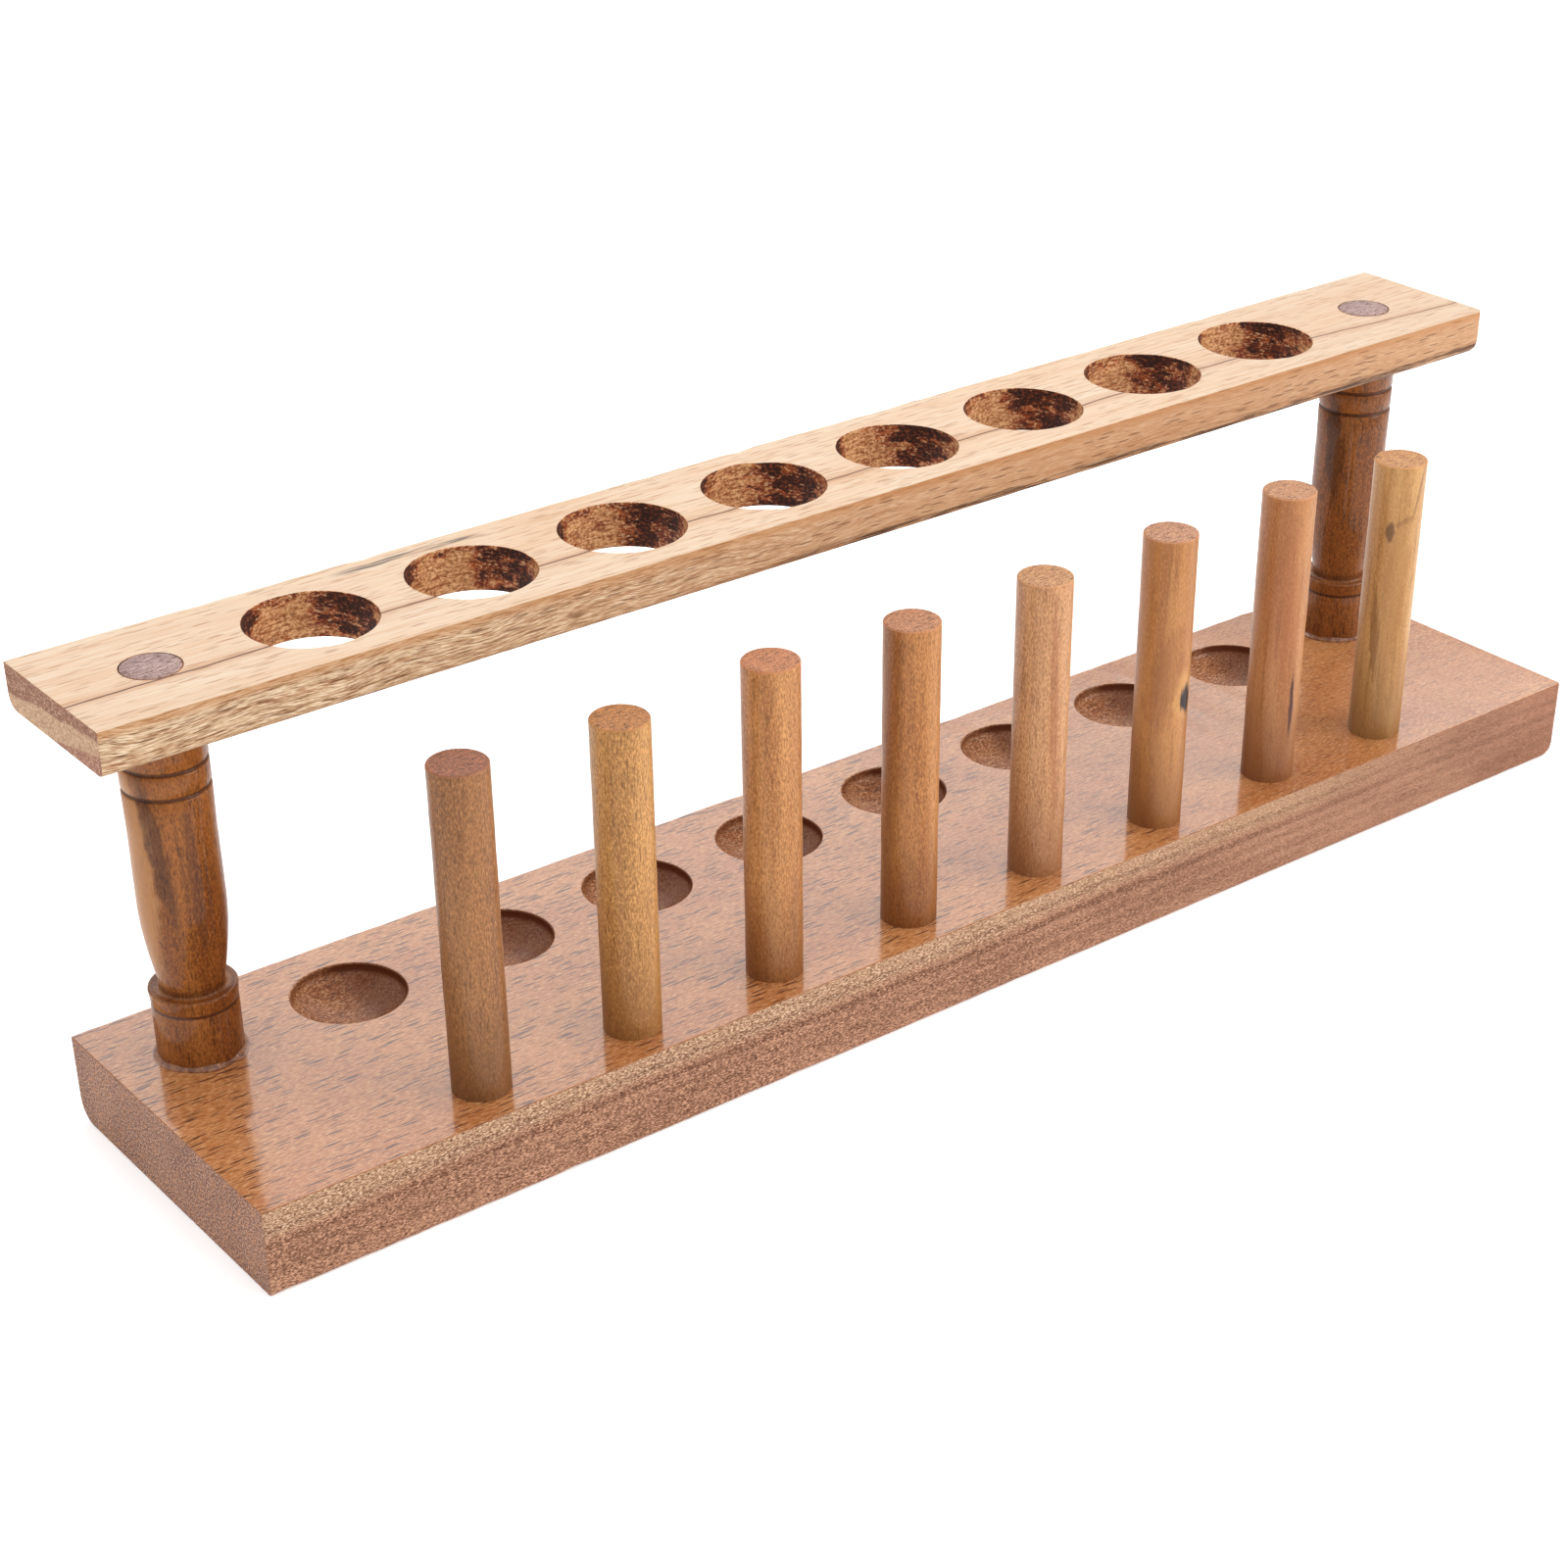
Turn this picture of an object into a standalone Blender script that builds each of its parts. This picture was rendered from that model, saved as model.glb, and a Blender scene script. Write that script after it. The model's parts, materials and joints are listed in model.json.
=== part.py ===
"""Wooden test tube rack for eight tubes: a thick base board, a thin top board on two turned posts, and
a front row of eight drying pegs. Everything is glued, so nothing moves. Metres, +Z up. The origin is
the middle of the base board's underside, +X runs along the rack, and the pegs are on the -Y side.
"""

import math

import bmesh
import bpy
from mathutils import Matrix, Vector

# Base board
BASE_LENGTH = 0.300
BASE_WIDTH = 0.065
BASE_THICKNESS = 0.016
BASE_EDGE = 0.0007

# Top board
TOP_LENGTH = 0.303
TOP_WIDTH = 0.032
TOP_THICKNESS = 0.0078
TOP_UNDERSIDE = 0.0774
TOP_EDGE = 0.0005

# Places for the tubes: a through hole in the top board over a round recess in the base
PLACES = 8
PLACE_PITCH = 0.030
ROW_Y = 0.0157
FIRST_PLACE_X = -0.1064
HOLE_DIAMETER = 0.022
RECESS_DIAMETER = 0.0198
RECESS_WALL = 0.0015
RECESS_DEPTH = 0.0055
RECESS_RINGS = 4

# Posts, on the same line as the tube places
LEFT_POST_TO_FIRST_PLACE = 0.0281
LAST_PLACE_TO_RIGHT_POST = 0.0304
TENON_DIAMETER = 0.010
LOWER_TENON_LENGTH = 0.010
FOOT_RADIUS = 0.0072
FOOT_RIM = 0.0004
NECK_RADIUS = 0.0053
BODY_RADIUS = 0.0072
WAIST_RADIUS = 0.0071
GROOVE_DEPTH = 0.0003
FOOT_LINE_DEPTH = 0.00015
GROOVE_HALF_WIDTH = 0.0004
FOOT_LINE_HEIGHT = 0.0097
FOOT_HEIGHT = 0.0125
BULGE_HEIGHT = 0.0290
WAIST_HEIGHT = 0.0420
LOWER_GROOVE_HEIGHT = 0.0490
UPPER_GROOVE_HEIGHT = 0.0534

# Drying pegs, in blind holes near the front edge
PEG_DIAMETER = 0.010
PEG_PITCH = 0.02985
FIRST_PEG_X = -0.1043
PEG_Y = -0.0230
PEG_IN_BASE = 0.008
PEG_EDGE = 0.0004
PEG_PROUD = (0.0585, 0.0570, 0.0582, 0.0568, 0.0568, 0.0571, 0.0576, 0.0563)

# Room for glue between pieces that touch
GAP = 0.0003

# How far the cutters reach past the faces they cut through
CUT_PAST = 0.002

HOLE_SIDES = 40
RECESS_SIDES = 36
POST_SIDES = 32
PEG_SIDES = 28

TOP_FACE = TOP_UNDERSIDE + TOP_THICKNESS
PLACE_XS = [FIRST_PLACE_X + PLACE_PITCH * i for i in range(PLACES)]
PEG_XS = [FIRST_PEG_X + PEG_PITCH * i for i in range(len(PEG_PROUD))]
LEFT_POST_X = PLACE_XS[0] - LEFT_POST_TO_FIRST_PLACE
RIGHT_POST_X = PLACE_XS[-1] + LAST_PLACE_TO_RIGHT_POST

WOODS = {
    "base_board": ((0.48, 0.27, 0.17), 0.35),
    "top_board": ((0.72, 0.50, 0.31), 0.5),
    "left_post": ((0.30, 0.15, 0.07), 0.35),
    "right_post": ((0.28, 0.14, 0.07), 0.35),
    "dark_peg": ((0.42, 0.23, 0.12), 0.4),
    "olive_peg": ((0.50, 0.34, 0.16), 0.4),
    "orange_peg": ((0.55, 0.31, 0.16), 0.4),
    "light_peg": ((0.62, 0.41, 0.22), 0.4),
}
PEG_WOODS = (
    "dark_peg", "olive_peg", "orange_peg", "orange_peg", "light_peg", "orange_peg", "orange_peg", "olive_peg",
)


def clear_scene():
    for obj in list(bpy.data.objects):
        bpy.data.objects.remove(obj, do_unlink=True)


def wood(name):
    """The Principled material of one kind of wood, made once."""
    if name in bpy.data.materials:
        return bpy.data.materials[name]
    colour, roughness = WOODS[name]
    material = bpy.data.materials.new(name)
    material.use_nodes = True
    surface = material.node_tree.nodes["Principled BSDF"]
    surface.inputs["Base Color"].default_value = (*colour, 1.0)
    surface.inputs["Roughness"].default_value = roughness
    surface.inputs["Metallic"].default_value = 0.0
    return material


def new_object(name, bm, wood_name=None):
    mesh = bpy.data.meshes.new(name)
    bm.to_mesh(mesh)
    bm.free()
    obj = bpy.data.objects.new(name, mesh)
    bpy.context.scene.collection.objects.link(obj)
    if wood_name:
        mesh.materials.append(wood(wood_name))
    return obj


def box(name, size, centre, wood_name):
    bm = bmesh.new()
    bmesh.ops.create_cube(bm, size=1.0, matrix=Matrix.Translation(centre) @ Matrix.Diagonal((*size, 1.0)))
    return new_object(name, bm, wood_name)


def turned(name, profile, sides, wood_name=None):
    """A closed solid of revolution about Z. The profile lists (radius, height) up its outer side,
    and starts and ends on the axis."""
    bm = bmesh.new()
    rings = []
    for radius, height in profile:
        if radius == 0:
            rings.append([bm.verts.new((0.0, 0.0, height))])
            continue
        angles = [2 * math.pi * i / sides for i in range(sides)]
        rings.append([bm.verts.new((radius * math.cos(a), radius * math.sin(a), height)) for a in angles])
    for lower, upper in zip(rings, rings[1:]):
        for i in range(sides):
            j = (i + 1) % sides
            if len(lower) == 1:
                bm.faces.new((lower[0], upper[j], upper[i]))
            elif len(upper) == 1:
                bm.faces.new((lower[i], lower[j], upper[0]))
            else:
                bm.faces.new((lower[i], lower[j], upper[j], upper[i]))
    bmesh.ops.recalc_face_normals(bm, faces=bm.faces)
    obj = new_object(name, bm, wood_name)
    obj.data.shade_smooth()
    obj.data.set_sharp_from_angle(angle=math.radians(35))
    return obj


def drill(radius, bottom, top):
    """The straight-sided profile of a round hole."""
    return [(0, bottom), (radius, bottom), (radius, top), (0, top)]


def recess_profile():
    """A short straight wall below the face, then a shallow bowl."""
    radius = RECESS_DIAMETER / 2
    bowl = RECESS_DEPTH - RECESS_WALL
    sphere = (radius**2 + bowl**2) / (2 * bowl)
    half_angle = math.asin(radius / sphere)
    centre = BASE_THICKNESS - RECESS_DEPTH + sphere
    angles = [half_angle * i / RECESS_RINGS for i in range(1, RECESS_RINGS + 1)]
    curve = [(sphere * math.sin(a), centre - sphere * math.cos(a)) for a in angles]
    above = BASE_THICKNESS + CUT_PAST
    return [(0, BASE_THICKNESS - RECESS_DEPTH), *curve, (radius, above), (0, above)]


def cut(board, name, profile, sides, places):
    """Cuts one turned shape out of a board at each place, through a single joined cutter."""
    bm = bmesh.new()
    pattern = turned(name + "_pattern", profile, sides)
    for x, y in places:
        before = len(bm.verts)
        bm.from_mesh(pattern.data)
        bm.verts.ensure_lookup_table()
        bmesh.ops.translate(bm, verts=bm.verts[before:], vec=(x, y, 0.0))
    bpy.data.objects.remove(pattern, do_unlink=True)
    cutter = new_object(name, bm)
    cutter.hide_render = True
    cutter.display_type = "WIRE"
    modifier = board.modifiers.new(name, "BOOLEAN")
    modifier.operation = "DIFFERENCE"
    modifier.object = cutter


def ease_edges(board, width):
    modifier = board.modifiers.new("eased_edges", "BEVEL")
    modifier.width = width
    modifier.segments = 2
    modifier.limit_method = "ANGLE"


def socket_profile(depth, diameter, face):
    """A blind hole, a glue gap wider and deeper than the pin that stands in it."""
    return drill(diameter / 2 + GAP, face - depth - GAP, face + CUT_PAST)


def make_base_board():
    size = (BASE_LENGTH, BASE_WIDTH, BASE_THICKNESS)
    board = box("base_board", size, Vector((0, 0, BASE_THICKNESS / 2)), "base_board")
    ease_edges(board, BASE_EDGE)
    tube_places = [(x, ROW_Y) for x in PLACE_XS]
    post_places = [(LEFT_POST_X, ROW_Y), (RIGHT_POST_X, ROW_Y)]
    peg_places = [(x, PEG_Y) for x in PEG_XS]
    post_socket = socket_profile(LOWER_TENON_LENGTH, TENON_DIAMETER, BASE_THICKNESS)
    peg_socket = socket_profile(PEG_IN_BASE, PEG_DIAMETER, BASE_THICKNESS)
    cut(board, "tube_recesses", recess_profile(), RECESS_SIDES, tube_places)
    cut(board, "post_sockets", post_socket, PEG_SIDES, post_places)
    cut(board, "peg_sockets", peg_socket, PEG_SIDES, peg_places)


def make_top_board():
    size = (TOP_LENGTH, TOP_WIDTH, TOP_THICKNESS)
    board = box("top_board", size, Vector((0, ROW_Y, TOP_UNDERSIDE + TOP_THICKNESS / 2)), "top_board")
    ease_edges(board, TOP_EDGE)
    below, above = TOP_UNDERSIDE - CUT_PAST, TOP_FACE + CUT_PAST
    tube_hole = drill(HOLE_DIAMETER / 2, below, above)
    tenon_hole = drill(TENON_DIAMETER / 2 + GAP, below, above)
    cut(board, "tube_holes", tube_hole, HOLE_SIDES, [(x, ROW_Y) for x in PLACE_XS])
    cut(board, "tenon_holes", tenon_hole, PEG_SIDES, [(LEFT_POST_X, ROW_Y), (RIGHT_POST_X, ROW_Y)])


def groove(radius, height, depth):
    """Three points of a thin V groove scribed round the post."""
    return [
        (radius, height - GROOVE_HALF_WIDTH),
        (radius - depth, height),
        (radius, height + GROOVE_HALF_WIDTH),
    ]


def swelling(start, end, steps):
    """Points from one (radius, height) to another along a quarter sine that ends upright."""
    points = []
    for i in range(1, steps + 1):
        t = i / steps
        radius = start[0] + (end[0] - start[0]) * math.sin(t * math.pi / 2)
        points.append((radius, start[1] + (end[1] - start[1]) * t))
    return points


def post_profile():
    """Lower tenon, foot with a scribed line and an eased rim, narrow neck, swelling body, two grooves,
    upper tenon. Heights in the inner list are above the foot's underside."""
    tenon = TENON_DIAMETER / 2
    foot = BASE_THICKNESS + GAP
    shoulder = TOP_UNDERSIDE - GAP
    profile = [
        (FOOT_RADIUS, 0),
        *groove(FOOT_RADIUS, FOOT_LINE_HEIGHT, FOOT_LINE_DEPTH),
        (FOOT_RADIUS, FOOT_HEIGHT - FOOT_RIM),
        (FOOT_RADIUS - FOOT_RIM, FOOT_HEIGHT),
        (NECK_RADIUS, FOOT_HEIGHT),
        *swelling((NECK_RADIUS, FOOT_HEIGHT), (BODY_RADIUS, BULGE_HEIGHT), 7),
        (WAIST_RADIUS, WAIST_HEIGHT),
        *groove(BODY_RADIUS, LOWER_GROOVE_HEIGHT, GROOVE_DEPTH),
        *groove(BODY_RADIUS, UPPER_GROOVE_HEIGHT, GROOVE_DEPTH),
    ]
    return [
        (0, BASE_THICKNESS - LOWER_TENON_LENGTH),
        (tenon, BASE_THICKNESS - LOWER_TENON_LENGTH),
        (tenon, foot),
        *[(radius, foot + height) for radius, height in profile],
        (BODY_RADIUS, shoulder),
        (tenon, shoulder),
        (tenon, TOP_FACE),
        (0, TOP_FACE),
    ]


def make_posts():
    for name, x in (("left_post", LEFT_POST_X), ("right_post", RIGHT_POST_X)):
        post = turned(name, post_profile(), POST_SIDES, name)
        post.location = (x, ROW_Y, 0)


def make_pegs():
    radius = PEG_DIAMETER / 2
    bottom = BASE_THICKNESS - PEG_IN_BASE
    for i, (x, proud, wood_name) in enumerate(zip(PEG_XS, PEG_PROUD, PEG_WOODS)):
        top = BASE_THICKNESS + proud
        rim = [(radius, top - PEG_EDGE), (radius - PEG_EDGE, top)]
        profile = [(0, bottom), (radius, bottom), *rim, (0, top)]
        peg = turned(f"drying_peg_{i + 1}", profile, PEG_SIDES, wood_name)
        peg.location = (x, PEG_Y, 0)


clear_scene()
make_base_board()
make_top_board()
make_posts()
make_pegs()
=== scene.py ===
"""The looks of the wooden test tube rack: finer shapes, procedural woods, dried glue, light and camera,
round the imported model. Lengths are in metres, and inside the materials in millimetres.
"""

import json
import math

import bmesh
import bpy
from mathutils import Matrix, Vector, noise


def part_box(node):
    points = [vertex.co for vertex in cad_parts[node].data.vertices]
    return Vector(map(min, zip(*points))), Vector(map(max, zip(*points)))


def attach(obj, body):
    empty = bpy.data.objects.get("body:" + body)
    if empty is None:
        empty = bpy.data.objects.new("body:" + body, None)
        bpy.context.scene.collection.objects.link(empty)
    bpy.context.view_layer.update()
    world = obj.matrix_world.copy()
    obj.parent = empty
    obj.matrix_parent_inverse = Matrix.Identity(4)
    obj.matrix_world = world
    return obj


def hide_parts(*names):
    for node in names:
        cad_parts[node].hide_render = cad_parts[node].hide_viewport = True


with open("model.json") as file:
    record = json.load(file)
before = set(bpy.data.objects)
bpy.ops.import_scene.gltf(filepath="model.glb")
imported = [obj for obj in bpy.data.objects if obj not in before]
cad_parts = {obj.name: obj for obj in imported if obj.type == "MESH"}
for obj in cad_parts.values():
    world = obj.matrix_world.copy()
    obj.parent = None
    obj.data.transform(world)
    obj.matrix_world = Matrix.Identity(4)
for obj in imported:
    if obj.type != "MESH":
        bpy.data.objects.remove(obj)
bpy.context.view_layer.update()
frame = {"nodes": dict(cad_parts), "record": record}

MM = 0.001
OPENINGS = {opening["name"]: opening["box_m"] for opening in frame["record"]["physics"]["openings"]}
BASE_LOW, BASE_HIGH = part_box("base_board")
TOP_LOW, TOP_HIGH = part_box("top_board")
PEG_NAMES = sorted(name for name in frame["nodes"] if name.startswith("drying_peg"))

# Boards
BASE_EDGE = 0.0007
BASE_BACK_ROUND = 0.0040
BASE_FRONT_ROUND = 0.0009
BASE_END_ROUND = 0.0027
TOP_EDGE = 0.0006
TOP_BACK_ROUND = 0.0024
TOP_FRONT_ROUND = 0.0014
TOP_END_ROUND = 0.0022
EDGE_WEAR = 0.00016
WEAR_REACH = 0.0012
SLICES = 90
HOLE_DIAMETER = 0.022
HOLE_LIP = 0.0002
RECESS_DIAMETER = 0.0198
RECESS_WALL = 0.0015
RECESS_DEPTH = 0.0055
RECESS_LIP = 0.00035
TENON_DIAMETER = 0.010
HOLE_SIDES = 96
TENON_HOLE_SIDES = 64
SEAM = 0.00006
CUT_PAST = 0.001
TOP_TAPER = 0.0005
HOLE_LEAN = 0.0004

# Posts, with heights above the base board, and the glue round their feet
LOWER_TENON_LENGTH = 0.010
FOOT_RADIUS = 0.0072
FOOT_TUCK = 0.0001
FOOT_TUCK_HEIGHT = 0.0005
FOOT_PINCH = 0.0099
PINCH_DEPTH = 0.00015
PINCH_BELOW = 0.0005
PINCH_ABOVE = 0.0004
FOOT_HEIGHT = 0.0127
FOOT_FLARE = 0.0002
RIM_ROUND = 0.0004
LEDGE_WIDTH = 0.0012
LEDGE_DROP = 0.0003
NECK_RADIUS = 0.0053
NECK_FILLET = 0.0006
NECK_RISE = 0.0002
BODY_RADIUS = 0.0072
BULGE_HEIGHT = 0.0290
WAIST_RADIUS = 0.0071
WAIST_HEIGHT = 0.0420
GROOVES = (0.0493, 0.0537)
GROOVE_HALF_WIDTH = 0.0004
GROOVE_SHOULDER = 0.0002
TENON_EDGE = 0.0002
GLUE_WIDTH = 0.0008
GLUE_HEIGHT = 0.0008
GLUE_UNDER_FOOT = 0.0002
GLUE_IN_BASE = 0.00005
POST_SIDES = 96
POST_UNEVENNESS = 0.00006
POST_LUMP_SIZE = 0.004

# Pegs
PEG_EDGE = 0.00035
PEG_SIDES = 72
PEG_RINGS = 40
PEG_UNEVENNESS = 0.00008
PEG_LUMP_SIZE = 0.006

# Dark bands along the base's sides: height and half width in millimetres, strength
BASE_BANDS = ((9.8, 0.3, 0.75), (12.8, 0.1, 0.55), (7.0, 0.3, 0.4), (4.4, 0.6, 0.4))

# Camera and light
CAMERA_PLACE = Vector((-0.3088, -0.3742, 0.2778))
CAMERA_FORWARD = Vector((0.5134, 0.6776, -0.5265))
CAMERA_RIGHT = Vector((0.7932, -0.6088, -0.0101))
CAMERA_LENS = 68.12
CAMERA_SHIFT_UP = 0.15
HORIZON_LIGHT = 0.6
ZENITH_LIGHT = 1.15
HORIZON_DEGREES = 12
ZENITH_DEGREES = 42
LIT_ABOVE = 1.6
LIT_BESIDE = 1.25


# ---------------------------------------------------------------- shapes

def new_piece(name, bm, material):
    mesh = bpy.data.meshes.new(name)
    bm.to_mesh(mesh)
    bm.free()
    obj = bpy.data.objects.new(name, mesh)
    bpy.context.scene.collection.objects.link(obj)
    mesh.materials.append(material)
    return obj


def settle(obj):
    """Puts what the modifiers make into the object's own mesh, and drops them."""
    graph = bpy.context.evaluated_depsgraph_get()
    mesh = bpy.data.meshes.new_from_object(obj.evaluated_get(graph))
    obj.modifiers.clear()
    obj.data = mesh


def smooth(obj, angle):
    obj.data.shade_smooth()
    obj.data.set_sharp_from_angle(angle=math.radians(angle))


def turned(profile, sides):
    """A closed bmesh of revolution about Z from (radius, height) points, from axis to axis."""
    bm = bmesh.new()
    rings = []
    for radius, height in profile:
        if radius == 0:
            rings.append([bm.verts.new((0.0, 0.0, height))])
            continue
        angles = [2 * math.pi * i / sides for i in range(sides)]
        rings.append([bm.verts.new((radius * math.cos(a), radius * math.sin(a), height)) for a in angles])
    for lower, upper in zip(rings, rings[1:]):
        for i in range(sides):
            j = (i + 1) % sides
            if len(lower) == 1:
                bm.faces.new((lower[0], upper[j], upper[i]))
            elif len(upper) == 1:
                bm.faces.new((lower[i], lower[j], upper[0]))
            else:
                bm.faces.new((lower[i], lower[j], upper[j], upper[i]))
    bmesh.ops.recalc_face_normals(bm, faces=bm.faces)
    return bm


def arc(centre, radius, start, end, steps):
    """Points of a round stretch of profile; angles in degrees, 0 outward and 90 up."""
    points = []
    for i in range(steps + 1):
        a = math.radians(start + (end - start) * i / steps)
        points.append((centre[0] + radius * math.cos(a), centre[1] + radius * math.sin(a)))
    return points


def ease(start, end, steps):
    """Points from one (radius, height) to another along a quarter sine that ends upright."""
    points = []
    for i in range(1, steps + 1):
        t = i / steps
        radius = start[0] + (end[0] - start[0]) * math.sin(t * math.pi / 2)
        points.append((radius, start[1] + (end[1] - start[1]) * t))
    return points


def roughen(obj, amount, size, seed):
    """Moves each point of a turned piece unevenly inward by up to amount, as hand sanding leaves it."""
    for vertex in obj.data.vertices:
        outward = Vector((vertex.co.x, vertex.co.y, 0))
        if outward.length == 0:
            continue
        shift = noise.noise(vertex.co / size + Vector((seed, 0, 0)))
        vertex.co -= outward.normalized() * amount * abs(shift)


def ceiling(x):
    """The underside of the top board, which thickens a little towards its right end."""
    return TOP_LOW.z - TOP_TAPER * (x - TOP_LOW.x) / (TOP_HIGH.x - TOP_LOW.x)


def opening_centre(name):
    low, high = OPENINGS[name]
    return (low[0] + high[0]) / 2, (low[1] + high[1]) / 2


def centre_of(node):
    low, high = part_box(node)
    return (low.x + high.x) / 2, (low.y + high.y) / 2


def bore(name, profile, sides, centres, material):
    """A cutter made of the same turned shape at each centre."""
    bm = bmesh.new()
    pattern = turned(profile, sides)
    mesh = bpy.data.meshes.new(name)
    pattern.to_mesh(mesh)
    pattern.free()
    for x, y in centres:
        before = len(bm.verts)
        bm.from_mesh(mesh)
        bm.verts.ensure_lookup_table()
        bmesh.ops.translate(bm, verts=bm.verts[before:], vec=(x, y, 0))
    bpy.data.meshes.remove(mesh)
    return new_piece(name, bm, material)


def plank(name, low, high, edge, back_round, front_round, end_round, material):
    """A board cut into slices along X. Its bottom edges at the back, the front and the right end and its
    right front corner are sanded round, and all its other edges are eased."""
    bm = bmesh.new()
    size, centre = high - low, (high + low) / 2
    bmesh.ops.create_cube(bm, size=1.0, matrix=Matrix.Translation(centre) @ Matrix.Diagonal((*size, 1.0)))

    def edges_where(test):
        return [e for e in bm.edges if all(test(v.co) for v in e.verts)]

    near = 1e-6
    back = edges_where(lambda p: p.z < low.z + near and p.y > high.y - near)
    bmesh.ops.bevel(bm, geom=back, offset=back_round, segments=6, profile=0.5, affect="EDGES")
    end = edges_where(lambda p: p.z < low.z + near and p.x > high.x - near)
    bmesh.ops.bevel(bm, geom=end, offset=end_round, segments=5, profile=0.5, affect="EDGES")
    rounded_from = high.x - end_round - near
    front = edges_where(lambda p: p.y < low.y + near and (p.z < low.z + near or p.x > rounded_from))
    bmesh.ops.bevel(bm, geom=front, offset=front_round, segments=4, profile=0.5, affect="EDGES")
    for i in range(1, SLICES):
        x = low.x + size.x * i / SLICES
        if x < high.x - end_round:
            geom = bm.verts[:] + bm.edges[:] + bm.faces[:]
            bmesh.ops.bisect_plane(bm, geom=geom, plane_co=(x, 0, 0), plane_no=(1, 0, 0))
    board = new_piece(name, bm, material)
    bevel = board.modifiers.new("eased_edges", "BEVEL")
    bevel.width = edge
    bevel.segments = 4
    bevel.limit_method = "ANGLE"
    bevel.angle_limit = math.radians(40)
    settle(board)
    return board


def wear_edges(board, low, high, amount):
    """Moves a board's edges unevenly inward, towards its middle line along X, with a few deeper nicks."""
    middle = (low + high) / 2
    for vertex in board.data.vertices:
        p = vertex.co
        gaps = sorted(min(p[axis] - low[axis], high[axis] - p[axis]) for axis in range(3))
        if gaps[1] > WEAR_REACH:
            continue
        inward = Vector((0, math.copysign(1, middle.y - p.y), math.copysign(1, middle.z - p.z)))
        # Waves of about 8 mm along X, and nicks of about 2 mm
        wander = abs(noise.noise(Vector((p.x * 130, p.y * 60, p.z * 60))))
        nick = max(0.0, noise.noise(Vector((p.x * 420, p.y * 300 + 7, p.z * 300))) - 0.32)
        closeness = 1 - gaps[1] / WEAR_REACH
        vertex.co = p + inward * amount * closeness * (wander + 3 * nick)


def bored(board, cutters):
    """Takes the cutters out of the board and keeps their material on the walls."""
    for cutter in cutters:
        cut = board.modifiers.new(cutter.name, "BOOLEAN")
        cut.operation = "DIFFERENCE"
        cut.solver = "EXACT"
        cut.material_mode = "TRANSFER"
        cut.object = cutter
    settle(board)
    for cutter in cutters:
        bpy.data.objects.remove(cutter, do_unlink=True)


def flat_normals(board):
    """Keeps the wide faces flat in the light while the eased edges shade round."""
    smooth(board, 50)
    weighted = board.modifiers.new("flat_faces", "WEIGHTED_NORMAL")
    weighted.keep_sharp = True
    weighted.weight = 100
    settle(board)


def stand_for(piece, node):
    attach(piece, "root")
    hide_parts(node)


# ---------------------------------------------------------------- material helpers

def tone(colour, lit):
    """The wood's own colour for one given as it looks in the light, 0 to 255, where a white face
    comes out lit times too bright."""
    channels = []
    for value in colour:
        share = value / 255
        linear = share / 12.92 if share <= 0.04045 else ((share + 0.055) / 1.055) ** 2.4
        channels.append(linear / lit)
    return (*channels, 1.0)


def above(*colour):
    return tone(colour, LIT_ABOVE)


def beside(*colour):
    return tone(colour, LIT_BESIDE)


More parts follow.
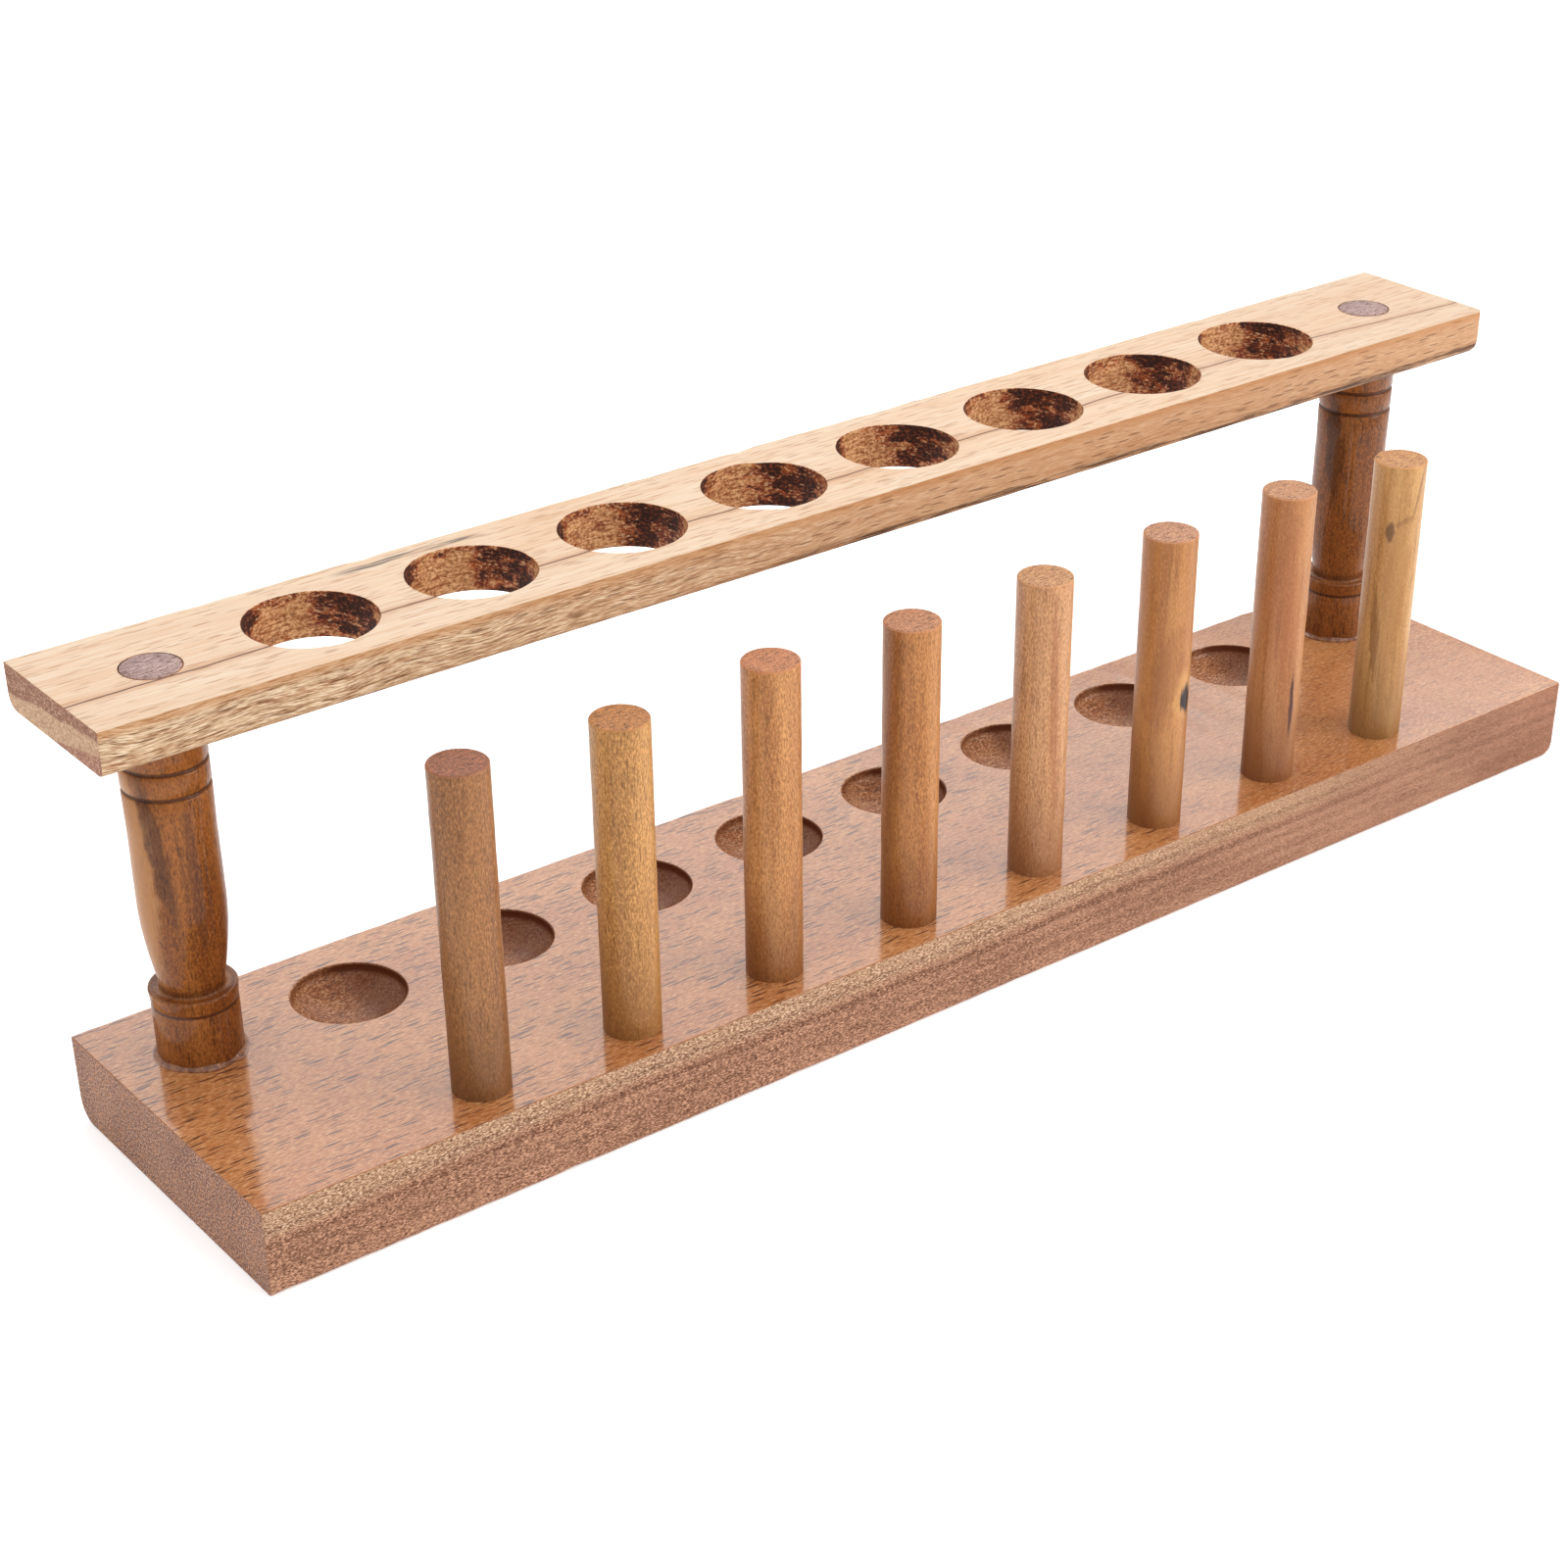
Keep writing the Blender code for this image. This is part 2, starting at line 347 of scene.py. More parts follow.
class Shader:
    """A short way to write nodes: each call adds one and returns its output."""

    def __init__(self, name):
        self.material = bpy.data.materials.new(name)
        self.material.use_nodes = True
        self.tree = self.material.node_tree
        self.surface = self.tree.nodes["Principled BSDF"]

    def feed(self, socket, value):
        if isinstance(value, bpy.types.NodeSocket):
            self.tree.links.new(value, socket)
        else:
            socket.default_value = value

    def node(self, kind, inputs, output=0, **settings):
        node = self.tree.nodes.new("ShaderNode" + kind)
        for key, value in settings.items():
            setattr(node, key, value)
        for key, value in inputs.items():
            self.feed(node.inputs[key], value)
        return node.outputs[output]

    def calc(self, operation, a, b=0.0):
        return self.node("Math", {0: a, 1: b}, operation=operation)

    def add(self, a, b):
        return self.calc("ADD", a, b)

    def times(self, a, b):
        return self.calc("MULTIPLY", a, b)

    def minus(self, a, b):
        return self.calc("SUBTRACT", a, b)

    def size(self, a):
        return self.calc("ABSOLUTE", a)

    def fade(self, value, start, end):
        """Smoothly from 0 where value is start to 1 where it is end."""
        inputs = {"Value": value, "From Min": start, "From Max": end, "To Min": 0.0, "To Max": 1.0}
        return self.node("MapRange", inputs, interpolation_type="SMOOTHSTEP")

    def band(self, value, centre, half_width, softness):
        """1 within half_width of centre, falling to 0 over softness."""
        return self.fade(self.size(self.minus(value, centre)), half_width + softness, half_width)

    def mix(self, factor, a, b):
        inputs = {0: factor, 6: a, 7: b}
        return self.node("Mix", inputs, output=2, data_type="RGBA", clamp_factor=True)

    def point(self, x, y, z):
        return self.node("CombineXYZ", {0: x, 1: y, 2: z})

    def split(self, vector):
        node = self.tree.nodes.new("ShaderNodeSeparateXYZ")
        self.feed(node.inputs[0], vector)
        return node.outputs[0], node.outputs[1], node.outputs[2]

    def millimetres(self):
        """The place on the piece, in millimetres from its own origin, as three numbers."""
        place = self.node("TexCoord", {}, output=3)
        return self.split(self.node("VectorMath", {0: place, "Scale": 1 / MM}, operation="SCALE"))

    def facing(self):
        """The surface's own direction, as three numbers."""
        return self.split(self.node("TexCoord", {}, output=1))

    def stretched(self, along, across, up, length, width):
        """A point for a pattern drawn out along the grain: one unit is length by width by width."""
        return self.point(
            self.times(along, 1 / length), self.times(across, 1 / width), self.times(up, 1 / width)
        )

    def noise(self, vector, detail=2.0, roughness=0.5, seed=0.0):
        """Cloud noise, 0 to 1, one unit of the vector to a cloud."""
        inputs = {"Vector": vector, "W": seed, "Scale": 1.0, "Detail": detail, "Roughness": roughness}
        return self.node("TexNoise", inputs, noise_dimensions="4D")

    def grains(self, vector, radius, seed=0.0):
        """Rounded spots, 1 at each spot's middle, at most about one to a unit of the vector."""
        inputs = {"Vector": vector, "W": seed, "Scale": 1.0}
        distance = self.node("TexVoronoi", inputs, voronoi_dimensions="4D")
        return self.fade(distance, radius, radius * 0.7)

    def speckled(self, colour, pattern, strength, pale, dark):
        """Pale and dark flecks over a colour, from a cloud noise."""
        colour = self.mix(self.times(self.fade(pattern, 0.50, 0.64), strength), colour, pale)
        return self.mix(self.times(self.fade(pattern, 0.50, 0.36), strength), colour, dark)

    def finish(self, colour, height, depth, roughness, coat, coat_roughness, specular=0.3):
        """Joins the colour, the height in parts of depth (mm), and the gloss to the surface."""
        self.feed(self.surface.inputs["Base Color"], colour)
        self.feed(self.surface.inputs["Roughness"], roughness)
        self.feed(self.surface.inputs["Coat Weight"], coat)
        self.surface.inputs["Coat Roughness"].default_value = coat_roughness
        self.surface.inputs["Specular IOR Level"].default_value = specular
        inputs = {"Strength": 1.0, "Distance": depth * MM, "Height": height}
        self.feed(self.surface.inputs["Normal"], self.node("Bump", inputs))
        return self.material


# ---------------------------------------------------------------- woods

def base_wood():
    """Warm reddish hardwood under gloss varnish: pored top, speckled banded sides, dotted ends."""
    s = Shader("base_wood")
    x, y, z = s.millimetres()
    nx, _, nz = s.facing()
    drift = s.noise(s.stretched(x, y, z, 70, 20), 2)
    clouds = s.noise(s.stretched(x, y, z, 24, 10), 3, 0.6, seed=3)
    fibre = s.noise(s.stretched(x, y, z, 7, 0.4), 3, 0.65, seed=5)
    pores = s.grains(s.stretched(x, y, z, 5.0, 0.46), 0.42, seed=1)
    fine_pores = s.grains(s.stretched(x, y, z, 2.8, 0.36), 0.42, seed=2)
    speckle = s.noise(s.stretched(x, y, z, 0.6, 0.23), 2, 0.7, seed=8)
    fine = s.noise(s.stretched(x, y, z, 1.2, 0.28), 2, 0.7, seed=9)

    top = s.mix(s.fade(clouds, 0.3, 0.7), above(196, 118, 62), above(222, 148, 88))
    top = s.mix(s.fade(drift, 0.5, 0.75), top, above(204, 124, 70))
    top = s.mix(s.times(s.fade(fibre, 0.48, 0.7), 0.4), top, above(236, 172, 112))
    top = s.speckled(top, fine, 0.5, above(255, 206, 152), above(150, 84, 44))
    pored = s.add(0.35, s.times(s.fade(x, 110, -20), 0.6))
    top = s.mix(s.times(pores, pored), top, above(84, 36, 16))
    top = s.mix(s.times(fine_pores, s.times(pored, 0.6)), top, above(116, 58, 30))

    layer = s.add(z, s.times(s.minus(drift, 0.5), 5.0))
    layer = s.add(layer, s.times(s.minus(fibre, 0.5), 1.2))
    pale = s.times(s.times(s.fade(layer, 10.4, 12.8), s.fade(x, 120, 60)), 0.85)
    side = s.mix(s.fade(clouds, 0.3, 0.7), beside(152, 106, 80), beside(176, 128, 100))
    side = s.mix(pale, side, beside(184, 142, 108))
    side = s.mix(s.times(s.fade(x, 118, 150), 0.6), side, beside(150, 94, 68))
    fainter = s.add(0.5, s.times(s.fade(x, 120, 20), 0.5))
    for height, half_width, strength in BASE_BANDS:
        dark = s.times(s.times(s.band(layer, height, half_width, 0.7), strength), fainter)
        side = s.mix(dark, side, beside(112, 68, 44))
    rough_sawn = s.add(0.25, s.times(s.fade(x, 130, -60), 0.65))
    fleck = s.mix(pale, beside(226, 172, 138), beside(246, 214, 180))
    side = s.speckled(side, speckle, rough_sawn, fleck, beside(84, 46, 30))
    side = s.mix(s.times(fine_pores, 0.4), side, beside(100, 58, 38))

    end_speckle = s.noise(s.stretched(x, y, z, 3, 0.36), 2, 0.7, seed=10)
    end_dots = s.grains(s.stretched(x, y, z, 9, 0.9), 0.46, seed=4)
    end = s.mix(s.fade(clouds, 0.35, 0.65), beside(158, 112, 92), beside(136, 92, 76))
    end = s.speckled(end, end_speckle, 1.0, beside(232, 182, 146), beside(76, 38, 28))
    end = s.mix(s.times(end_dots, 0.45), end, beside(214, 140, 84))

    facing_end = s.fade(s.size(nx), 0.75, 0.95)
    facing_up = s.fade(nz, 0.55, 0.8)
    colour = s.mix(facing_up, side, top)
    colour = s.mix(facing_end, colour, end)
    arris = s.band(nz, 0.5, 0.25, 0.2)
    colour = s.mix(s.times(arris, 0.7), colour, beside(160, 94, 46))

    relief = s.minus(s.times(fibre, 0.3), s.times(pores, 0.8))
    relief = s.add(relief, s.times(s.times(speckle, s.minus(1.0, facing_up)), 1.5))
    roughness = s.add(0.42, s.times(s.minus(1.0, facing_up), 0.2))
    coat = s.add(0.08, s.times(facing_up, 0.87))
    return s.finish(colour, relief, 0.05, roughness, coat, 0.12, 0.15)


def top_wood():
    """Pale straight-grained wood with one dark line along it, rubbed nearly matt."""
    s = Shader("top_wood")
    x, y, z = s.millimetres()
    nx, _, nz = s.facing()
    drift = s.noise(s.stretched(x, y, z, 80, 14), 2, seed=1)
    fibre = s.noise(s.stretched(x, y, z, 12, 0.45), 3, 0.65, seed=2)
    grain = s.noise(s.stretched(x, y, z, 45, 1.1), 2, 0.5, seed=3)
    dashes = s.grains(s.stretched(x, y, z, 5.5, 0.46), 0.39, seed=4)
    slope = s.times(s.minus(s.noise(s.stretched(x, y, z, 26, 30), 1, seed=7), 0.5), 6.0)
    speckle = s.noise(s.stretched(x, y, s.add(z, slope), 3.0, 0.22), 2, 0.7, seed=5)

    top = s.mix(s.fade(drift, 0.3, 0.7), above(255, 226, 196), above(252, 214, 178))
    top = s.mix(s.times(s.fade(grain, 0.52, 0.66), 0.25), top, above(224, 172, 128))
    top = s.speckled(top, fibre, 0.4, above(255, 244, 222), above(220, 164, 116))
    top = s.mix(s.times(dashes, 0.5), top, above(178, 112, 66))

    wander = s.times(s.minus(s.noise(s.stretched(x, y, z, 30, 200), 3, 0.6, seed=6), 0.5), 5.0)
    line_y = s.add(s.minus(10.6, s.times(s.fade(x, 90, 165), 4.5)), s.times(wander, 0.5))
    line = s.band(y, line_y, 0.02, 0.35)
    halo = s.fade(s.size(s.minus(y, line_y)), 2.6, 0.2)
    top = s.mix(s.times(halo, 0.4), top, above(220, 158, 116))
    top = s.mix(s.times(line, s.add(0.45, s.times(fibre, 0.9))), top, above(96, 56, 42))
    top = s.mix(s.times(s.fade(x, 40, 150), 0.5), top, s.mix(0.5, top, above(224, 190, 160)))

    blot = s.times(s.band(x, -81.0, 9.0, 7.0), s.band(y, s.add(28.4, s.times(wander, 0.3)), 0.3, 1.0))
    blot = s.times(blot, s.fade(fibre, 0.4, 0.55))
    top = s.mix(s.times(blot, 0.9), top, above(84, 76, 80))

    layer = s.add(s.add(z, s.times(s.minus(drift, 0.5), 3.0)), s.times(s.minus(grain, 0.5), 2.2))
    side = s.mix(s.fade(x, -150, 40), beside(208, 176, 140), beside(200, 152, 112))
    side = s.mix(s.times(s.fade(layer, 83, 79), 0.4), side, beside(196, 150, 108))
    side = s.mix(s.times(s.fade(grain, 0.52, 0.64), 0.5), side, beside(180, 124, 80))
    rough_sawn = s.add(0.2, s.times(s.fade(x, 40, -130), 0.65))
    side = s.speckled(side, speckle, rough_sawn, beside(246, 222, 190), beside(118, 72, 38))
    side = s.mix(s.times(dashes, 0.6), side, beside(104, 62, 36))
    side = s.mix(s.times(s.fade(z, 83.0, 84.6), 0.55), side, beside(190, 128, 74))
    chip = s.times(s.fade(z, 79.4, 78.2), s.fade(fibre, 0.45, 0.55))
    side = s.mix(s.times(s.times(chip, s.fade(x, -50, 0)), 0.9), side, beside(80, 52, 38))

    slant = s.add(s.times(y, 0.09), s.times(s.minus(drift, 0.5), 4))
    end = s.mix(s.fade(s.add(z, slant), 83.0, 83.6), beside(204, 160, 122), beside(150, 90, 60))
    wedge = s.fade(s.add(z, s.times(y, 0.22)), 81.4, 80.9)
    end = s.mix(wedge, end, beside(166, 106, 78))
    end_grain = s.noise(s.stretched(x, y, z, 3, 0.34), 2, 0.7, seed=8)
    end = s.speckled(end, end_grain, 0.55, beside(240, 206, 170), beside(104, 60, 40))

    facing_end = s.fade(s.size(nx), 0.75, 0.95)
    facing_up = s.fade(nz, 0.55, 0.8)
    colour = s.mix(facing_up, side, top)
    colour = s.mix(facing_end, colour, end)
    colour = s.mix(s.times(s.band(nz, 0.5, 0.25, 0.2), 0.4), colour, beside(206, 150, 96))

    relief = s.minus(s.times(fibre, 0.5), s.times(dashes, 0.7))
    relief = s.minus(relief, s.times(s.times(line, facing_up), 1.5))
    relief = s.add(relief, s.times(s.times(speckle, s.minus(1.0, facing_up)), 1.4))
    roughness = s.add(0.5, s.times(fibre, 0.12))
    return s.finish(colour, relief, 0.06, roughness, 0.08, 0.35, 0.15)


def bored_wood():
    """The walls of the tube holes: scorched where the drill crossed the end grain, with fine rings."""
    s = Shader("bored_wood")
    x, y, z = s.millimetres()
    nx, ny, _ = s.facing()
    blotch = s.noise(s.stretched(z, x, y, 2.2, 4.0), 4, 0.65)
    streak = s.noise(s.stretched(z, x, y, 0.35, 3.5), 3, 0.65, seed=2)
    fleck = s.noise(s.stretched(z, x, y, 0.45, 0.7), 2, 0.75, seed=3)
    tan = s.mix(s.fade(streak, 0.38, 0.62), beside(170, 100, 54), beside(228, 168, 112))
    red = s.mix(s.fade(streak, 0.42, 0.58), beside(120, 46, 16), beside(192, 98, 44))
    right = s.add(s.times(nx, -0.91), s.times(ny, -0.42))
    heat = s.add(s.times(s.fade(right, 0.70, 0.98), 0.42), s.times(s.fade(nx, 0.3, 0.7), 0.5))
    heat = s.add(heat, s.times(s.minus(blotch, 0.5), 1.8))
    heat = s.add(heat, s.times(s.fade(z, 82, 85), 0.14))
    colour = s.mix(s.fade(heat, 0.06, 0.26), tan, red)
    colour = s.speckled(colour, fleck, 0.6, beside(255, 212, 160), beside(84, 34, 18))
    burnt = s.fade(s.add(heat, s.times(s.minus(streak, 0.5), 1.2)), 0.36, 0.42)
    colour = s.mix(s.times(burnt, 0.95), colour, beside(40, 16, 10))
    colour = s.mix(s.times(s.times(burnt, s.fade(fleck, 0.52, 0.6)), 0.6), colour, beside(150, 70, 34))
    relief = s.add(s.times(streak, 0.6), s.times(fleck, 0.6))
    return s.finish(colour, relief, 0.12, s.add(0.5, s.times(burnt, 0.15)), 0.0, 0.3)


def recess_wood():
    """The round recesses in the base: the same wood, darker, with the cutter's rings, and painted shade
    on each bowl's steep walls and on its right side.
    """
    s = Shader("recess_wood")
    x, y, z = s.millimetres()
    nx, _, nz = s.facing()
    clouds = s.noise(s.stretched(x, y, z, 9, 4), 3, 0.6)
    fibre = s.noise(s.stretched(x, y, z, 6, 0.45), 3, 0.65, seed=2)
    pores = s.grains(s.stretched(x, y, z, 3, 0.55), 0.46, seed=3)
    rings = s.noise(s.point(0.0, 0.0, s.times(z, 1 / 0.16)), 1, 0.5, seed=4)
    speckle = s.noise(s.stretched(x, y, z, 0.6, 0.3), 2, 0.75, seed=5)
    colour = s.mix(s.fade(clouds, 0.3, 0.7), above(176, 102, 56), above(200, 130, 80))
    colour = s.mix(s.times(s.fade(fibre, 0.5, 0.7), 0.4), colour, above(214, 150, 104))
    colour = s.speckled(colour, speckle, 0.75, above(246, 196, 150), above(104, 50, 24))
    colour = s.mix(s.times(pores, 0.5), colour, above(92, 46, 24))
    # Painted shade: darker on the steep walls of each bowl and on its right side, which faces away from
    # the light from the right
    wall = s.fade(s.size(nz), 0.5, 0.1)
    painted_shade = s.add(s.times(wall, 0.5), s.times(s.fade(nx, 0.05, -0.4), 0.65))
    colour = s.mix(painted_shade, colour, above(112, 54, 24))
    relief = s.add(s.times(rings, 0.5), s.minus(s.times(fibre, 0.4), s.times(pores, 0.5)))
    return s.finish(colour, relief, 0.06, 0.5, 0.25, 0.25, 0.15)


class TurnedWood(Shader):
    """Straight grain along Z. The colours are the pale streaks, the ground and the dark streaks."""

    def __init__(self, name, light, middle, dark, seed, streaks, speckles, pored):
        super().__init__(name)
        self.x, self.y, self.z = x, y, z = self.millimetres()
        self.seed = seed
        broad = self.noise(self.stretched(z, x, y, 45, 4.5), 2, 0.5, seed=seed)
        streak = self.noise(self.stretched(z, x, y, 22, 1.3), 3, 0.55, seed=seed + 1)
        fibre = self.noise(self.stretched(z, x, y, 7, 0.35), 3, 0.65, seed=seed + 2)
        pores = self.grains(self.stretched(z, x, y, 3.2, 0.45), 0.42, seed=seed + 3)
        speckle = self.noise(self.stretched(z, x, y, 0.7, 0.26), 2, 0.7, seed=seed + 4)
        colour = self.mix(self.fade(broad, 0.35, 0.65), beside(*middle), beside(*light))
        colour = self.mix(self.times(self.fade(streak, 0.50, 0.76), streaks), colour, beside(*dark))
        colour = self.mix(self.times(self.fade(fibre, 0.5, 0.7), 0.35), colour, beside(*light))
        pale = beside(*[min(255, part * 1.2) for part in light])
        colour = self.speckled(colour, speckle, speckles, pale, beside(*dark))
        self.colour = self.mix(self.times(pores, pored), colour, beside(*[part * 0.6 for part in dark]))
        self.ragged = fibre
        self.relief = self.minus(self.times(fibre, 0.5), self.times(pores, 0.6))

    def cover(self, factor, colour):
        self.colour = self.mix(factor, self.colour, colour)

    def cut_end(self, ground, fleck, level, dotted):
        """Puts end grain on the flat top end, at that level: the ground colour with short dark marks.
        Gives the share of the surface that is side, where the varnish is."""
        flat = [self.times(self.x, 1 / 0.4), self.times(self.y, 1 / 0.4)]
        marks = self.noise(self.point(self.times(self.x, 1 / 1.8), flat[1], 0.0), 2, seed=self.seed + 7)
        dots = self.noise(self.point(*flat, 0.0), 2, 0.75, seed=self.seed + 8)
        pale = above(*[min(255, part * 1.35) for part in ground])
        end = self.speckled(above(*ground), dots, dotted, pale, above(*fleck))
        end = self.mix(self.times(self.fade(marks, 0.46, 0.36), 0.5), end, pale)
        end = self.mix(self.times(self.fade(marks, 0.56, 0.64), 0.9), end, above(*fleck))
        at_top = self.fade(self.z, level / MM - 1.0, level / MM - 0.5)
        facing_up = self.times(self.fade(self.facing()[2], 0.8, 0.95), at_top)
        self.cover(facing_up, end)
        return self.minus(1.0, facing_up)

    def figures(self, marks):
        """Soft-edged marks on the side: angle round from the front, height above the base board,
        half angle, half length, lean in degrees to a millimetre, strength and colour."""
        around = self.times(self.calc("ARCTAN2", self.x, self.times(self.y, -1.0)), 180 / math.pi)
        height = self.minus(self.z, BASE_HIGH.z / MM)
        slow = self.point(self.times(self.x, 0.5), self.times(self.y, 0.5), self.times(self.z, 0.35))
        warp = self.minus(self.noise(slow, 2, 0.5, seed=self.seed + 5), 0.5)
        for turn, middle, half_turn, half_length, lean, strength, mark in marks:
            bent = self.add(around, self.times(self.minus(height, middle), lean))
            bent = self.add(bent, self.times(warp, 1.4 * half_turn))
            moved = self.add(height, self.times(warp, 0.8 * half_length))
            across = self.times(self.minus(bent, turn), 1 / half_turn)
            along = self.times(self.minus(moved, middle), 1 / half_length)
            away = self.calc("SQRT", self.add(self.times(across, across), self.times(along, along)))
            away = self.add(away, self.times(self.minus(self.ragged, 0.5), 1.2))
            self.cover(self.times(self.fade(away, 1.3, 0.7), strength), beside(*mark))


def post_wood(name, light, middle, dark, seed, marks):
    s = TurnedWood(name, light, middle, dark, seed, 0.6, 0.5, 0.45)
    s.figures(marks)
    height = s.minus(s.z, BASE_HIGH.z / MM)
    # Painted shade: a dark line in each groove and in the pinch above the foot
    for groove in (*GROOVES, FOOT_PINCH):
        s.cover(s.times(s.band(height, groove / MM, 0.12, 0.3), 0.8), beside(58, 24, 10))
    # Painted shadow: a darker band on the neck just above the foot's ledge
    s.cover(s.times(s.band(height, FOOT_HEIGHT / MM + 0.6, 0.3, 0.6), 0.5), beside(90, 48, 26))
    cut = s.noise(s.point(0.0, 0.0, s.times(s.z, 1 / 0.22)), 1, 0.5, seed=seed + 6)
    relief = s.add(s.relief, s.times(cut, 0.25))
    side = s.cut_end((186, 156, 149), (118, 78, 70), TOP_HIGH.z, 0.45)
    return s.finish(s.colour, relief, 0.05, 0.45, s.times(side, 0.3), 0.1, 0.12)


def peg_wood(name, light, middle, dark, end, speckles, top, seed, marks):
    s = TurnedWood(name, light, middle, dark, seed, 0.5, speckles, speckles * 0.5)
    s.figures(marks)
    s.cover(s.times(s.fade(s.minus(s.z, BASE_HIGH.z / MM), 24, 2), 0.6), beside(*dark))
    # Painted highlight: pale flecks on the rounded edge round each peg's top end
    rim = s.times(s.band(s.facing()[2], 0.5, 0.2, 0.2), s.fade(s.z, top / MM - 0.8, top / MM - 0.3))
    s.cover(s.times(rim, 0.6), above(*[min(255, part * 1.15) for part in end]))
    side = s.cut_end(end, [part * 0.6 for part in end], top, 0.7)
    return s.finish(s.colour, s.relief, 0.05, 0.45, s.times(side, 0.2), 0.2, 0.2)


def dried_glue():
    """A thin clear bead, yellowish brown over the wood."""
    s = Shader("dried_glue")
    x, y, z = s.millimetres()
    lumps = s.noise(s.stretched(x, y, z, 1.2, 1.2), 2, 0.5)
    colour = s.mix(s.fade(lumps, 0.35, 0.65), above(128, 72, 42), above(182, 120, 78))
    return s.finish(colour, lumps, 0.4, 0.3, 0.5, 0.05)


# ---------------------------------------------------------------- pieces

def make_base():
    board = plank(
        "base_plank", BASE_LOW, BASE_HIGH, BASE_EDGE, BASE_BACK_ROUND, BASE_FRONT_ROUND, BASE_END_ROUND,
        base_wood()
    )
    wear_edges(board, BASE_LOW, BASE_HIGH, EDGE_WEAR)
    radius, top = RECESS_DIAMETER / 2, BASE_HIGH.z
    bowl = RECESS_DEPTH - RECESS_WALL
    sphere = (radius**2 + bowl**2) / (2 * bowl)
    half_angle = math.degrees(math.asin(radius / sphere))
    bottom = arc((0, top - RECESS_DEPTH + sphere), sphere, -90, half_angle - 90, 14)[1:]
    lip = arc((radius + RECESS_LIP, top - RECESS_LIP), RECESS_LIP, 180, 90, 5)
    clear = top + CUT_PAST
    profile = [(0, top - RECESS_DEPTH), *bottom, *lip, (radius + RECESS_LIP, clear), (0, clear)]
    places = [opening_centre(name) for name in OPENINGS if name.startswith("tube_recess")]
    bored(board, [bore("recesses", profile, HOLE_SIDES, places, recess_wood())])
    flat_normals(board)
    stand_for(board, "base_board")


def make_top():
    board = plank(
        "top_plank", TOP_LOW, TOP_HIGH, TOP_EDGE, TOP_BACK_ROUND, TOP_FRONT_ROUND, TOP_END_ROUND,
        top_wood()
    )
    wear_edges(board, TOP_LOW, TOP_HIGH, EDGE_WEAR)
    for vertex in board.data.vertices:
        share = (TOP_HIGH.z - vertex.co.z) / (TOP_HIGH.z - TOP_LOW.z)
        vertex.co.z += share * (ceiling(vertex.co.x) - TOP_LOW.z)
    high, radius = TOP_HIGH.z, HOLE_DIAMETER / 2
    below, clear = TOP_LOW.z - 2 * CUT_PAST, high + CUT_PAST
    lip = arc((radius + HOLE_LIP, high - HOLE_LIP), HOLE_LIP, 180, 90, 4)
    hole = [(0, below), (radius, below), *lip, (radius + HOLE_LIP, clear), (0, clear)]
    holes = [opening_centre(name) for name in OPENINGS if name.startswith("tube_hole")]
    tenon_radius = TENON_DIAMETER / 2 + SEAM
    tenon = [(0, below), (tenon_radius, below), (tenon_radius, clear), (0, clear)]
    posts = [centre_of("left_post"), centre_of("right_post")]
    walls = bored_wood()
    tube_holes = bore("holes", hole, HOLE_SIDES, holes, walls)
    for vertex in tube_holes.data.vertices:
        vertex.co.y -= HOLE_LEAN * (high - vertex.co.z) / (high - TOP_LOW.z)
    bored(board, [tube_holes, bore("tenon_holes", tenon, TENON_HOLE_SIDES, posts, walls)])
    flat_normals(board)
    stand_for(board, "top_board")


def post_profile(shoulder):
    """(radius, height) points in the row frame, up the outer side, for a post whose shoulder under
    the top board is at that height."""
    floor, tenon = BASE_HIGH.z + SEAM, TENON_DIAMETER / 2
    rim = FOOT_RADIUS + FOOT_FLARE
    neck = FOOT_HEIGHT + NECK_RISE
    body = [
        (FOOT_RADIUS - FOOT_TUCK, 0.0),
        (FOOT_RADIUS, FOOT_TUCK_HEIGHT),
        (FOOT_RADIUS, FOOT_PINCH - PINCH_BELOW),
        (FOOT_RADIUS - PINCH_DEPTH, FOOT_PINCH),
        (FOOT_RADIUS, FOOT_PINCH + PINCH_ABOVE),
        *arc((rim - RIM_ROUND, FOOT_HEIGHT - RIM_ROUND), RIM_ROUND, -20, 90, 6),
        (NECK_RADIUS + LEDGE_WIDTH, FOOT_HEIGHT - LEDGE_DROP),
        *arc((NECK_RADIUS + NECK_FILLET, neck), NECK_FILLET, 250, 180, 4),
        *ease((NECK_RADIUS, neck), (BODY_RADIUS, BULGE_HEIGHT), 18),
    ]
    steps = 6
    for i in range(1, steps + 1):
        t = i / steps
        height = BULGE_HEIGHT + (WAIST_HEIGHT - BULGE_HEIGHT) * t
        body.append((BODY_RADIUS + (WAIST_RADIUS - BODY_RADIUS) * t, height))
    for groove in GROOVES:
        body.append((BODY_RADIUS, groove - GROOVE_HALF_WIDTH - GROOVE_SHOULDER))
        body.extend(arc((BODY_RADIUS, groove), GROOVE_HALF_WIDTH, 270, 90, 8)[1:-1])
        body.append((BODY_RADIUS, groove + GROOVE_HALF_WIDTH + GROOVE_SHOULDER))
    return [
        (0, floor - LOWER_TENON_LENGTH),
        (tenon, floor - LOWER_TENON_LENGTH),
        (tenon, floor),
        *[(radius, floor + height) for radius, height in body],
        (BODY_RADIUS, shoulder - SEAM),
        (tenon, shoulder - SEAM),
        (tenon, TOP_HIGH.z - TENON_EDGE),
        (tenon - TENON_EDGE, TOP_HIGH.z),
        (0, TOP_HIGH.z),
    ]


